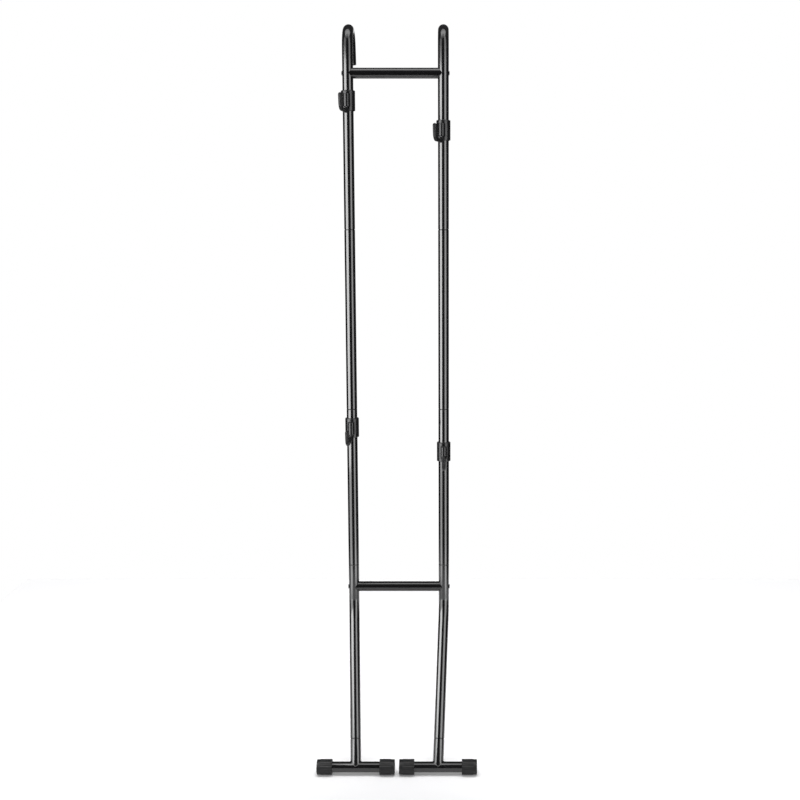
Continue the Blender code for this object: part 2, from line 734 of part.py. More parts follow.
def build_crossbars():
    for label, height in (("upper", UPPER_CROSSBAR_Z), ("lower", LOWER_CROSSBAR_Z)):
        build_crossbar(f"crossbar_{label}", height)
        for end, side in (("left", -1), ("right", 1)):
            build_insert(f"crossbar_insert_{label}_{end}", side, height)
            build_crossbar_screw(f"crossbar_screw_{label}_{end}", side, height)


def build_arms():
    liner = build_liner_mesh()
    pieces = {
        "clamp": (build_clamp_mesh(), "clamp"),
        "hook_rod": (build_rod_mesh(), "steel"),
        "hook_sheath": (build_sheath_mesh(), "sheath"),
    }
    fasteners = {
        "pinch_screw": build_pinch_screw_mesh(),
        "pinch_nut": build_pinch_nut_mesh(),
    }
    levels = {"crossbar": UPPER_CROSSBAR_Z, "joint": MIDDLE_JOINT_Z}
    for label, (side, level, rise, swivel) in ARMS.items():
        centre = Vector((side * UPRIGHT_SPACING / 2, UPRIGHT_Y, levels[level] + rise))
        slide = empty(f"slide_{label}", None, Matrix.Translation(centre))
        turn = empty(f"swivel_{label}", slide, Matrix.Rotation(radians(swivel), 4, "Z"))
        place(f"clamp_liner_{label}", liner, "liner", slide)
        for name, (mesh, kind) in pieces.items():
            place(f"{name}_{label}", mesh, kind, turn)
        for name, mesh in fasteners.items():
            for end_name, end in (("top", 1), ("bottom", -1)):
                seat = Matrix.Translation(pinch_place(end))
                place(f"{name}_{label}_{end_name}", mesh, "black_screw", turn, seat)


build_uprights()
build_caps()
build_crossbars()
build_arms()
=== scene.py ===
# %% [markdown]
# # A leaning stand for two bicycles
# The real stand is bent and plugged steel tube under a gloss black coat. Its two uprights curve
# back like canes at the top, where they touch the wall, and run forward to T-shaped feet. Four
# moulded clamps slide and turn on them, each with a hook in a soft sheath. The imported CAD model
# fixes where everything is, so this lesson keeps to it: each visible piece is modelled again
# with fine edges in the very space of its CAD node, and hidden pieces keep their CAD shape.

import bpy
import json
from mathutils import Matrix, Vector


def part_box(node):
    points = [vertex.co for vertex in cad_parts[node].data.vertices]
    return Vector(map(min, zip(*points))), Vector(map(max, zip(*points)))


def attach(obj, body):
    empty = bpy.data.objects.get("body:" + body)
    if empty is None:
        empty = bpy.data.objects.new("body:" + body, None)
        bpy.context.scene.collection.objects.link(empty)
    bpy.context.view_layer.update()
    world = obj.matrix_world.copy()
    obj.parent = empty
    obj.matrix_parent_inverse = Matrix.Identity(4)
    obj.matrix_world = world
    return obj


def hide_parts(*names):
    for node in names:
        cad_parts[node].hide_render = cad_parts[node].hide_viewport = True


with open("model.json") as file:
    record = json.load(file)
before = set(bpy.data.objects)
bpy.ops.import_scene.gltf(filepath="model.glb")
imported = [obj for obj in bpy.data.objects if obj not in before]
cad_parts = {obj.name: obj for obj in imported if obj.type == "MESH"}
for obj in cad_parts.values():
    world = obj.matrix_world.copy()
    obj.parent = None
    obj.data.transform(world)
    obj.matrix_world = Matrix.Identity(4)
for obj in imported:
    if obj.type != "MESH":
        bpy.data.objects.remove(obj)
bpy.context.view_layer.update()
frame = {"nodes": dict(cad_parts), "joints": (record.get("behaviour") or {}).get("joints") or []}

# %% [markdown]
# ## Sizes
# A tube is known by its outer radius and wall, and a joint by how far the swaged neck of one
# tube goes into the next. Those few numbers are given here, and every place is read from the
# boxes of the CAD nodes, so a piece can't drift from the node it stands for.

# %% Tube stock, and the places read from the frame
import json
from math import atan2, cos, pi, radians, sin

import bmesh
import bpy
from mathutils import Matrix, Vector

X, Y, Z = Vector((1, 0, 0)), Vector((0, 1, 0)), Vector((0, 0, 1))
GAP = 0.0003
# a cutter is this many times as long as what it bores, or stands this far out of an open end
OVERCUT = 1.1
CUT_PAST = 0.01
TUBE_R = 0.016
TUBE_WALL = 0.0015
NECK_R = 0.01392
NECK_LENGTH = 0.060
SHOULDER = 0.002
ROUND = 64
SIDES = {"left": -1, "right": 1}

low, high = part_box("upper_middle_tube_right")
UPRIGHT_X = (low.x + high.x) / 2
UPRIGHT_Y = (low.y + high.y) / 2
UPPER_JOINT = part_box("cane_tube_right")[0].z
MIDDLE_JOINT = low.z
LOWER_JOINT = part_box("lower_middle_tube_right")[0].z
TOP = 2.220
print("uprights at x", round(UPRIGHT_X, 3), "and y", round(UPRIGHT_Y, 4))
print("joints at", round(LOWER_JOINT, 3), round(MIDDLE_JOINT, 3), round(UPPER_JOINT, 3))

# %% [markdown]
# ## The camera
# The photograph looks slightly down from standing height. Its crossbars lie level in the picture
# and its uprights lean towards a point below and right of the middle, so it is a crop of a wider
# picture taken from straight in front. A sideways shift of the lens gives that crop, where a
# turned camera would tilt the bars. How fast the tubes close in downwards gave the pitch, and
# how far the feet and the canes' ends stand off the uprights' lines gave the camera's place.

# %% The photograph's view
LENS = 54.0
SENSOR_WIDTH = 36
CAMERA_AT = Vector((0.163, UPRIGHT_Y - 3.617, 1.659))
CAMERA_PITCH = radians(-8.69)
PICTURE_SHIFT = -0.064

camera = bpy.data.objects.new("camera", bpy.data.cameras.new("camera"))
bpy.context.scene.collection.objects.link(camera)
camera.data.lens = LENS
camera.data.sensor_width = SENSOR_WIDTH
camera.data.shift_x = PICTURE_SHIFT
camera.location = CAMERA_AT
camera.rotation_euler = (pi / 2 + CAMERA_PITCH, 0, 0)
bpy.context.scene.camera = camera
print("camera height", round(CAMERA_AT.z, 3), "m, lens", LENS, "mm")

# %% [markdown]
# ## Floor, backdrop and light
# Gloss black shows little but what it mirrors, so what stands around it is its look. The room
# is dark in front and white behind. A tall card on the left draws the bright streak down each
# upright, a duller one on the right the grey streak, and a wide soft panel overhead the strip
# along everything that lies flat. The cards are only mirrored, so the panels and the room alone
# light the floor, at a plain level. A key panel that isn't mirrored draws the stand's shadow on
# it. Cards and panels are laid in tiles of unlike strength, bright in the middle, so that a
# streak fades towards the bends as it does in the photograph.

# %% The room
WHITE = (1.0, 1.0, 1.0, 1.0)
ROOM_LIGHT = 0.45
ROOM_MIRRORED = 0.05
# a mirrored ray starts to meet the white backdrop, and meets all of it, this near to straight back
WHITE_CONE = (0.94, 0.99)


def join_nodes(tree, source, target):
    """Link an output to an input, each given as a node and a socket name."""
    tree.links.new(source[0].outputs[source[1]], target[0].inputs[target[1]])


def math_node(tree, operation, *values):
    """A Math node with numbers or (node, socket) pairs for its inputs."""
    node = tree.nodes.new("ShaderNodeMath")
    node.operation = operation
    for i, value in enumerate(values):
        if isinstance(value, tuple):
            tree.links.new(value[0].outputs[value[1]], node.inputs[i])
        else:
            node.inputs[i].default_value = value
    return node


def spread(tree, source, low, high, out_low=0.0, out_high=1.0, kind="LINEAR"):
    """Map a range of a value to another, held at both ends."""
    node = tree.nodes.new("ShaderNodeMapRange")
    node.interpolation_type = kind
    node.inputs["From Min"].default_value = low
    node.inputs["From Max"].default_value = high
    node.inputs["To Min"].default_value = out_low
    node.inputs["To Max"].default_value = out_high
    tree.links.new(source, node.inputs["Value"])
    return node


world = bpy.data.worlds.new("studio")
bpy.context.scene.world = world
world.use_nodes = True
tree = world.node_tree
path = tree.nodes.new("ShaderNodeLightPath")
direction = tree.nodes.new("ShaderNodeTexCoord")
split = tree.nodes.new("ShaderNodeSeparateXYZ")
join_nodes(tree, (direction, "Generated"), (split, 0))
backdrop = spread(tree, split.outputs["Y"], *WHITE_CONE, ROOM_MIRRORED, 1.0, "SMOOTHSTEP")
brighter = math_node(tree, "SUBTRACT", (backdrop, "Result"), ROOM_LIGHT)
glossy = math_node(tree, "MULTIPLY", (path, "Is Glossy Ray"), (brighter, 0))
room = math_node(tree, "ADD", (glossy, 0), ROOM_LIGHT)
seen = math_node(tree, "MAXIMUM", (path, "Is Camera Ray"), (path, "Is Transmission Ray"))
strength = math_node(tree, "MAXIMUM", (seen, 0), (room, 0))
background = tree.nodes["Background"]
background.inputs["Color"].default_value = WHITE
tree.links.new(strength.outputs[0], background.inputs["Strength"])
bpy.context.scene.view_settings.view_transform = "Standard"
print("the room lights with", ROOM_LIGHT, "and is mirrored with", ROOM_MIRRORED, "in front")

# %% [markdown]
# The floor is a pale sheet under the stand. Towards its rim a lift that only the eye and the
# gloss see brings it to the white of the backdrop, so no edge shows, and near the feet it
# stays low enough for the shadows to read.

# %% The floor
FLOOR_COLOUR = (0.88, 0.88, 0.89, 1.0)
FLOOR_SIZE = 3.6
FLOOR_LIFT = (0.02, 0.30)
# a point on the floor in front of the feet
LIFT_FROM = Vector((0, -0.60, 0))
# distances from that point over which the lift grows
LIFT_RANGE = (0.25, 0.70)

bpy.ops.object.select_all(action="DESELECT")
bpy.ops.mesh.primitive_plane_add(size=FLOOR_SIZE, location=(0, 0, 0))
floor = bpy.context.active_object
floor.name = "studio_floor"
material = bpy.data.materials.new("studio_floor")
material.use_nodes = True
tree = material.node_tree
shader = tree.nodes["Principled BSDF"]
shader.inputs["Base Color"].default_value = FLOOR_COLOUR
shader.inputs["Roughness"].default_value = 1.0
shader.inputs["Specular IOR Level"].default_value = 0.0
shader.inputs["Emission Color"].default_value = WHITE
place = tree.nodes.new("ShaderNodeTexCoord")
distance = tree.nodes.new("ShaderNodeVectorMath")
distance.operation = "DISTANCE"
distance.inputs[1].default_value = LIFT_FROM
join_nodes(tree, (place, "Object"), (distance, 0))
lift = spread(tree, distance.outputs["Value"], *LIFT_RANGE, *FLOOR_LIFT, "SMOOTHSTEP")
path = tree.nodes.new("ShaderNodeLightPath")
seen = math_node(tree, "MAXIMUM", (path, "Is Camera Ray"), (path, "Is Transmission Ray"))
seen = math_node(tree, "MAXIMUM", (seen, 0), (path, "Is Glossy Ray"))
lift = math_node(tree, "MULTIPLY", (seen, 0), (lift, "Result"))
tree.links.new(lift.outputs[0], shader.inputs["Emission Strength"])
floor.data.materials.append(material)
print("floor", FLOOR_SIZE, "m wide, lifted by", FLOOR_LIFT)

# %% Cards and the panels overhead
CARDS = {
    # name: bearing from the camera's side, bottom, top, width, how bright
    "left_card": (-54, 0.60, 2.30, 1.36, 9.5),
    "left_low_card": (-54, 0.03, 0.60, 1.36, 4.2),
    "left_high_card": (-54, 2.30, 3.30, 1.36, 1.7),
    "left_top_card": (-54, 3.30, 4.60, 1.36, 0.7),
    "right_card": (46, 0.03, 2.30, 1.00, 4.2),
    "right_high_card": (46, 2.30, 3.60, 1.00, 2.4),
    "right_top_card": (46, 3.60, 4.60, 1.00, 1.0),
}
CARD_DISTANCE = 1.5
PANEL_WIDTH = 4.0
PANEL_HEIGHT = 5.0
PANELS = {
    # name: back edge, front edge, how bright
    "back_panel": (0.50, -0.10, 2.2),
    "middle_panel": (-0.10, -1.10, 3.2),
    "front_panel": (-1.10, -1.80, 1.8),
    "far_panel": (-1.80, -2.60, 0.8),
}
KEY_AT = Vector((0, -0.80, 4.0))
KEY_SIZE = 2.5
KEY_BRIGHT = 3.3


def add_lamp(name, place, aim, wide, tall, bright):
    """A soft rectangular lamp that looks at a point, as bright to the eye as is asked."""
    lamp = bpy.data.lights.new(name, "AREA")
    lamp.shape = "RECTANGLE"
    lamp.size, lamp.size_y = wide, tall
    # a flat lamp sends pi times its brightness from every square metre
    lamp.energy = bright * pi * wide * tall
    panel = bpy.data.objects.new(name, lamp)
    bpy.context.scene.collection.objects.link(panel)
    panel.location = place
    panel.rotation_euler = (aim - place).to_track_quat("-Z", "Y").to_euler()
    return panel


for name, (bearing, bottom, top, wide, bright) in CARDS.items():
    middle = Vector((0, UPRIGHT_Y, (bottom + top) / 2))
    around = Matrix.Rotation(radians(bearing), 3, "Z") @ (Y * -CARD_DISTANCE)
    card = add_lamp(name, middle + around, middle, wide, top - bottom, bright)
    card.visible_diffuse = False
for name, (back, front, bright) in PANELS.items():
    over = Vector((0, (back + front) / 2, PANEL_HEIGHT))
    add_lamp(name, over, over - Z, PANEL_WIDTH, back - front, bright)
key = add_lamp("key_panel", KEY_AT, KEY_AT - Z, KEY_SIZE, KEY_SIZE, KEY_BRIGHT)
key.visible_glossy = False
print("cards:", ", ".join(CARDS), "and panels", PANEL_HEIGHT, "m up")

# %% [markdown]
# ## Surface effects
# Four effects are shared by several finishes, so each is a node group: the slight orange peel
# of a baked coat, the fine grain of a mould, the haze of dust that settles on whatever faces
# up, and fine rubs that run along a piece. A group only puts out masks and heights, and each
# material decides what to do with them. All of them read Object coordinates, in metres.


# %% A helper that starts a group with named sockets
def new_group(name, inputs, outputs):
    """A shader group with its own sockets, and its two end nodes."""
    group = bpy.data.node_groups.new(name, "ShaderNodeTree")
    for label, value in inputs.items():
        socket = group.interface.new_socket(name=label, in_out="INPUT", socket_type="NodeSocketFloat")
        socket.default_value = value
    for label in outputs:
        group.interface.new_socket(name=label, in_out="OUTPUT", socket_type="NodeSocketFloat")
    return group, group.nodes.new("NodeGroupInput"), group.nodes.new("NodeGroupOutput")


def noise_in(tree, scale, detail, roughness=0.5, stretch=None):
    """Noise on Object coordinates, at a scale given per metre, or stretched along an axis."""
    place = tree.nodes.new("ShaderNodeTexCoord")
    noise = tree.nodes.new("ShaderNodeTexNoise")
    noise.inputs["Detail"].default_value = detail
    noise.inputs["Roughness"].default_value = roughness
    if isinstance(scale, tuple):
        tree.links.new(scale[0].outputs[scale[1]], noise.inputs["Scale"])
    else:
        noise.inputs["Scale"].default_value = scale
    source = place.outputs["Object"]
    if stretch:
        mapping = tree.nodes.new("ShaderNodeMapping")
        mapping.inputs["Scale"].default_value = stretch
        tree.links.new(source, mapping.inputs["Vector"])
        source = mapping.outputs["Vector"]
    tree.links.new(source, noise.inputs["Vector"])
    return noise


# %% Coat, grain, dust and rubs, with their scales per metre
PEEL, CLOUD = 420.0, 9.0
GRIT, MOTTLE = 2200.0, 60.0
DUST_PATCHES, RUB_PATCHES = 45.0, 7.0
HAIR = (1400, 1400, 22)
# the ranges over which a slope gathers dust, and a noise turns into dust, a rub or a rubbed patch
FACES_UP = (0.15, 0.95)
DUSTY = (0.35, 0.7)
RUB_LINE = (0.60, 0.72)
RUBBED = (0.50, 0.66)


def make_coat():
    """Orange peel of a baked coat, with a slow cloudiness."""
    group, start, end = new_group("coat", {"Peel": PEEL}, ("Height", "Cloud"))
    peel = noise_in(group, (start, "Peel"), detail=2)
    cloud = noise_in(group, CLOUD, detail=3)
    join_nodes(group, (peel, "Fac"), (end, "Height"))
    join_nodes(group, (cloud, "Fac"), (end, "Cloud"))
    return group


def make_grain():
    """Fine spark-eroded grain of a mould."""
    group, start, end = new_group("grain", {"Grain": GRIT}, ("Height", "Mottle"))
    grain = noise_in(group, (start, "Grain"), detail=3, roughness=0.65)
    mottle = noise_in(group, MOTTLE, detail=3)
    join_nodes(group, (grain, "Fac"), (end, "Height"))
    join_nodes(group, (mottle, "Fac"), (end, "Mottle"))
    return group


def make_dust():
    """Dust that lies on what faces up, broken into soft patches."""
    group, start, end = new_group("dust", {"Amount": 0.3}, ("Mask",))
    geometry = group.nodes.new("ShaderNodeNewGeometry")
    split = group.nodes.new("ShaderNodeSeparateXYZ")
    group.links.new(geometry.outputs["Normal"], split.inputs[0])
    facing = spread(group, split.outputs["Z"], *FACES_UP)
    patch = noise_in(group, DUST_PATCHES, detail=4, roughness=0.6)
    broken = spread(group, patch.outputs["Fac"], *DUSTY)
    both = math_node(group, "MULTIPLY", (facing, "Result"), (broken, "Result"))
    amount = math_node(group, "MULTIPLY", (both, 0), (start, "Amount"))
    join_nodes(group, (amount, 0), (end, "Mask"))
    return group


def make_rubs():
    """Hair-fine rubs that run up and down, gathered in a few patches."""
    group, start, end = new_group("rubs", {"Amount": 0.3}, ("Mask",))
    hair = noise_in(group, 1.0, detail=2, stretch=HAIR)
    line = spread(group, hair.outputs["Fac"], *RUB_LINE)
    patch = noise_in(group, RUB_PATCHES, detail=2)
    where = spread(group, patch.outputs["Fac"], *RUBBED)
    both = math_node(group, "MULTIPLY", (line, "Result"), (where, "Result"))
    amount = math_node(group, "MULTIPLY", (both, 0), (start, "Amount"))
    join_nodes(group, (amount, 0), (end, "Mask"))
    return group


COAT, GRAIN, DUST, RUBS = make_coat(), make_grain(), make_dust(), make_rubs()
print("groups:", COAT.name, GRAIN.name, DUST.name, RUBS.name)

# %% [markdown]
# ## Finishes
# Each finish starts from the same small graph: two close colours mixed by a slow cloud, a
# roughness that the cloud, dust and rubs move, and a bump from the coat or the grain. What
# makes a tube gloss and a cap dull is in the numbers, so they stand side by side in one place.

# %% One finish
DUST_COLOUR = (0.19, 0.18, 0.17, 1)
MICRON = 0.000001
# a cloud's noise between these two values moves the roughness from its low end to its high end
CLOUDED = (0.3, 0.7)


def place_group(tree, group, **values):
    """Put a group in a material, with its own values."""
    node = tree.nodes.new("ShaderNodeGroup")
    node.node_tree = group
    for label, value in values.items():
        node.inputs[label].default_value = value
    return node


def mix_colours(tree, mask, first, second):
    """Mix two colours by a mask, each a colour or an output."""
    mix = tree.nodes.new("ShaderNodeMix")
    mix.data_type = "RGBA"
    tree.links.new(mask, mix.inputs["Factor"])
    # the node's colours are its inputs 6 and 7 and its output 2
    for socket, value in ((mix.inputs[6], first), (mix.inputs[7], second)):
        if isinstance(value, tuple):
            socket.default_value = value
        else:
            tree.links.new(value, socket)
    return mix.outputs[2]


def new_finish(name, dark, light, rough, skin, depth, dust=0.3, rubs=0.0, metal=0.0, specular=0.5):
    """A finish of two close colours, a range of roughness, a skin and its depth in microns."""
    made = bpy.data.materials.new(name)
    made.use_nodes = True
    tree = made.node_tree
    surface = tree.nodes["Principled BSDF"]
    surface.inputs["Metallic"].default_value = metal
    surface.inputs["Specular IOR Level"].default_value = specular
    texture = place_group(tree, skin)
    cloud = texture.outputs["Cloud" if skin is COAT else "Mottle"]
    settled = place_group(tree, DUST, Amount=dust)
    colour = mix_colours(tree, cloud, (*dark, 1), (*light, 1))
    colour = mix_colours(tree, settled.outputs["Mask"], colour, DUST_COLOUR)
    base_rough = spread(tree, cloud, *CLOUDED, *rough)
    total = math_node(tree, "ADD", (base_rough, "Result"), (settled, "Mask"))
    if rubs:
        rubbed = place_group(tree, RUBS, Amount=rubs)
        total = math_node(tree, "ADD", (total, 0), (rubbed, "Mask"))
        total.use_clamp = True
    tree.links.new(colour, surface.inputs["Base Color"])
    tree.links.new(total.outputs[0], surface.inputs["Roughness"])
    bump = tree.nodes.new("ShaderNodeBump")
    bump.inputs["Strength"].default_value = 1.0
    bump.inputs["Distance"].default_value = depth * MICRON
    join_nodes(tree, (texture, "Height"), (bump, "Height"))
    join_nodes(tree, (bump, "Normal"), (surface, "Normal"))
    return made


# %% The finishes of this stand
FINISH = {
    "black_tube": new_finish(
        "gloss_black_coat", (0.004, 0.004, 0.0045), (0.006, 0.006, 0.0065), (0.10, 0.14), COAT, 1.5,
        dust=0.03, rubs=0.05, specular=0.75,
    ),
    "clamp_plastic": new_finish(
        "satin_clamp_plastic", (0.004, 0.004, 0.0045), (0.007, 0.007, 0.008), (0.24, 0.32), GRAIN, 4,
        dust=0.04, specular=0.35,
    ),
    "liner_plastic": new_finish(
        "dull_liner_plastic", (0.016, 0.016, 0.017), (0.024, 0.024, 0.026), (0.45, 0.55), GRAIN, 8,
        dust=0.06, specular=0.35,
    ),
    "sheath_rubber": new_finish(
        "soft_sheath", (0.004, 0.004, 0.0045), (0.006, 0.006, 0.0065), (0.34, 0.42), GRAIN, 6,
        dust=0.03, specular=0.20,
    ),
    "cap_rubber": new_finish(
        "ribbed_cap_rubber", (0.003, 0.003, 0.0035), (0.006, 0.006, 0.0065), (0.36, 0.46), GRAIN, 8,
        dust=0.03, specular=0.35,
    ),
    "plug_plastic": new_finish(
        "matt_plug_plastic", (0.008, 0.008, 0.009), (0.014, 0.014, 0.015), (0.50, 0.60), GRAIN, 8,
        dust=0.06, specular=0.25,
    ),
    "black_steel": new_finish(
        "black_oxide_steel", (0.030, 0.030, 0.033), (0.055, 0.055, 0.060), (0.28, 0.40), GRAIN, 10,
        dust=0.1, metal=1.0,
    ),
    "bare_steel": new_finish(
        "drawn_steel", (0.40, 0.40, 0.41), (0.50, 0.50, 0.51), (0.26, 0.38), GRAIN, 10,
        dust=0.05, rubs=0.2, metal=1.0,
    ),
}
print("finishes:", ", ".join(FINISH))

# %% [markdown]
# ## Working by hand, in code
# Every piece below is made as it would be at the desk: add a ring or a block, go to edit mode,
# select, extrude, spin, bevel. These helpers only name those moves. Edit mode must not be
# entered with other things selected, because an operator acts on all of them.


# %% Selecting, and going in and out of edit mode
MERGE_DISTANCE = 0.00001
SHADE_ANGLE = 20
# pieces with holes cut in them are shaded smooth over wider turns
CUT_SHADE_ANGLE = 30
# a face looks along a direction when its normal is this near to it
NEARLY_ALONG = 0.9


def only(*things):
    """Select nothing but these objects, the last one active."""
    bpy.ops.object.select_all(action="DESELECT")
    for thing in things:
        thing.select_set(True)
    bpy.context.view_layer.objects.active = things[-1]


def edit(piece):
    """Go into edit mode with all of the piece selected."""
    only(piece)
    bpy.ops.object.mode_set(mode="EDIT")
    bpy.ops.mesh.select_all(action="SELECT")


def done():
    bpy.ops.object.mode_set(mode="OBJECT")


def pick(piece, kind, test):
    """In edit mode, select the faces, edges or verts whose middle passes the test."""
    bpy.ops.mesh.select_mode(type=kind)
    bpy.ops.mesh.select_all(action="DESELECT")
    mesh = bmesh.from_edit_mesh(piece.data)
    for part in {"VERT": mesh.verts, "EDGE": mesh.edges, "FACE": mesh.faces}[kind]:
        corners = [part.co] if kind == "VERT" else [v.co for v in part.verts]
        middle = sum(corners, Vector()) / len(corners)
        if test(middle, part):
            part.select_set(True)
    mesh.select_flush_mode()
    bmesh.update_edit_mesh(piece.data)


def looks(face, direction):
    """Whether a face looks along a direction."""
    return face.normal.dot(direction) > NEARLY_ALONG


def set_place(piece):
    """Bring the object's location, turn and scale into its mesh."""
    only(piece)
    bpy.ops.object.transform_apply(location=True, rotation=True, scale=True)
    return piece


def extrude(move):
    bpy.ops.mesh.extrude_region_move(TRANSFORM_OT_translate={"value": tuple(move)})


def resize(scale, about):
    bpy.ops.transform.resize(value=scale, center_override=tuple(about))


def spin(centre, axis, angle, steps):
    """Spin what is selected by the right-hand rule; the operator itself turns left-handed."""
    bpy.ops.mesh.spin(steps=steps, angle=angle, center=tuple(centre), axis=tuple(-axis))


def cut_rings(axis, *places):
    """Cut rings of edges through the whole piece, square to an axis, at these places on it."""
    for place in places:
        bpy.ops.mesh.select_all(action="SELECT")
        bpy.ops.mesh.bisect(plane_co=tuple(axis * place), plane_no=tuple(axis))


def add_modifier(piece, kind, **values):
    """Add a modifier with these values and apply it."""
    only(piece)
    modifier = piece.modifiers.new(kind.lower(), kind)
    for label, value in values.items():
        setattr(modifier, label, value)
    bpy.ops.object.modifier_apply(modifier=modifier.name)
    return piece


def soften(piece, width, segments, angle=60):
    """Bevel every edge that is sharper than an angle."""
    limit = {"limit_method": "ANGLE", "angle_limit": radians(angle)}
    return add_modifier(piece, "BEVEL", width=width, segments=segments, **limit)


def cut(piece, tool, operation="DIFFERENCE"):
    """Cut a tool out of a piece, or join it on, and throw the tool away."""
    add_modifier(piece, "BOOLEAN", object=tool, operation=operation, solver="EXACT")
    bpy.data.objects.remove(tool)
    return piece


def face_out(piece):
    """Merge doubled points and turn the faces outwards."""
    edit(piece)
    bpy.ops.mesh.remove_doubles(threshold=MERGE_DISTANCE)
    bpy.ops.mesh.normals_make_consistent(inside=False)
    done()
    return piece


def smooth(piece, angle=SHADE_ANGLE):
    """Shade smooth, but leave the large faces flat right up to their small bevels."""
    only(piece)
    bpy.ops.object.shade_smooth_by_angle(angle=radians(angle))
    return add_modifier(piece, "WEIGHTED_NORMAL", keep_sharp=True)


# %% Blocks to cut with, and copies
def closed_cylinder(name, start, end, radius, sides=ROUND):
    """A closed cylinder between two points."""
    start, end = Vector(start), Vector(end)
    facing = Z.rotation_difference(end - start).to_euler()
    bpy.ops.object.select_all(action="DESELECT")
    bpy.ops.mesh.primitive_cylinder_add(
        vertices=sides, radius=radius, depth=(end - start).length, location=(start + end) / 2, rotation=facing
    )
    piece = set_place(bpy.context.active_object)
    piece.name = name
    return piece


def slab(name, size, centre):
    """A plain box to cut with."""
    bpy.ops.object.select_all(action="DESELECT")
    bpy.ops.mesh.primitive_cube_add(size=1, location=centre, scale=size)
    piece = set_place(bpy.context.active_object)
    piece.name = name
    return piece


def copy_to(model, name, matrix):
    """A copy of a model with its own mesh, brought to its place."""
    piece = model.copy()
    piece.data = model.data.copy()
    piece.name = name
    bpy.context.scene.collection.objects.link(piece)
    piece.data.transform(matrix)
    return piece


# %% Dressing a finished piece, and hiding the node it stands for
def dress(piece, body, slot, node):
    """Give a finished piece its material and the body it moves with, and hide the node it stands for."""
    piece.data.materials.clear()
    piece.data.materials.append(FINISH[slot])
    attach(piece, body)
    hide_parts(node)


def compare(piece, node):
    """How far the piece's box is from its node's, in millimetres."""
    low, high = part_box(node)
    corners = [v.co for v in piece.data.vertices]
    off = [min(c[i] for c in corners) - low[i] for i in range(3)]
    off += [max(c[i] for c in corners) - high[i] for i in range(3)]
    return max(abs(v) for v in off) * 1000


def stand_in(piece, slot, node):
    """Dress a piece of the frame, and say how far its box is from its node's."""
    dress(piece, "frame", slot, node)
    print(piece.name, "differs from its node by", round(compare(piece, node), 2), "mm")


def make_pair(make, node_name, slot):
    """Make a piece of the frame for the left side and one for the right."""
    for label, side in SIDES.items():
        node = f"{node_name}_{label}"
        stand_in(make(f"fine_{node}", side), slot, node)


# %% [markdown]
# ## Tubes
# A bent tube on the bench starts as a straight one that is pulled round a die. The same moves
# make it here: a ring of points is extruded along the straight, spun about the middle of the
# bend, and extruded again. Solidify then gives the open skin its wall, inwards, so that the
# outside stays true. A swaged neck is the ring drawn in over a short shoulder.


# %% Starting a tube and finishing it
RIM_EDGE = 0.0004
THIN_RIM_EDGE = 0.0003


def start_ring(name, centre, direction, radius=TUBE_R, sides=ROUND):
    """A ring of points square to a direction, in edit mode and selected."""
    facing = Z.rotation_difference(direction).to_euler()
    bpy.ops.object.select_all(action="DESELECT")
    bpy.ops.mesh.primitive_circle_add(vertices=sides, radius=radius, location=centre, rotation=facing)
    piece = set_place(bpy.context.active_object)
    piece.name = name
    edit(piece)
    return piece


def swage(at, direction):
    """Draw the selected ring in over the shoulder and run it on as a neck."""
    extrude(direction * SHOULDER)
    ratio = NECK_R / TUBE_R
    resize((ratio, ratio, ratio), at + direction * SHOULDER)
    extrude(direction * NECK_LENGTH)


def finish_tube(piece, wall=TUBE_WALL, lip=RIM_EDGE):
    """Leave edit mode, give the skin its wall and break the sharp rims."""
    done()
    face_out(piece)
    add_modifier(piece, "SOLIDIFY", thickness=wall, offset=-1, use_even_offset=True)
    soften(piece, lip, 2)
    return smooth(piece)


# %% The two straight sections of each upright
def straight_section(name, side, bottom, top):
    base = Vector((side * UPRIGHT_X, UPRIGHT_Y, bottom))
    piece = start_ring(name, base, Z)
    extrude(Z * (top - bottom - SHOULDER))
    swage(base + Z * (top - bottom - SHOULDER), Z)
    return finish_tube(piece)


for label, side in SIDES.items():
    for node, bottom, top in (
        (f"lower_middle_tube_{label}", LOWER_JOINT, MIDDLE_JOINT),
        (f"upper_middle_tube_{label}", MIDDLE_JOINT, UPPER_JOINT),
    ):
        stand_in(straight_section(f"fine_{node}", side, bottom, top), "black_tube", node)

# %% [markdown]
# The cane turns through more than a half circle, so that its end comes down and touches the
# wall with its round back. Spun in fine steps, the gloss runs round it without a kink.

# %% The canes
CANE_R = 0.055
CANE_ANGLE = radians(165)
CANE_TAIL = 0.050
CANE_STEPS = 30
BEND_START = TOP - TUBE_R - CANE_R


def cane(name, side):
    base = Vector((side * UPRIGHT_X, UPRIGHT_Y, UPPER_JOINT))
    piece = start_ring(name, base, Z)
    extrude(Z * (BEND_START - UPPER_JOINT))
    spin(base + Y * CANE_R + Z * (BEND_START - UPPER_JOINT), -X, CANE_ANGLE, CANE_STEPS)
    extrude((Y * sin(CANE_ANGLE) + Z * cos(CANE_ANGLE)) * CANE_TAIL)
    return finish_tube(piece)


make_pair(cane, "cane_tube", "black_tube")

# %% [markdown]
# The leg leaves the foot at a slant, leaning back and slightly outwards, and one gentle bend
# brings it upright. The bend's axis is square to both directions, so a cross product gives it.

# %% The legs
FOOT_FORWARD = 0.216
STUB_LENGTH = 0.083
BEND_HEIGHT = 0.447
LEG_BEND_R = 0.150
LEG_BEND_STEPS = 10
low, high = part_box("foot_cap_right_outer")
FOOT_Z = (low.z + high.z) / 2
FOOT_X = sum(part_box("foot_right")[i].x for i in (0, 1)) / 2
FOOT_Y = UPRIGHT_Y - FOOT_FORWARD


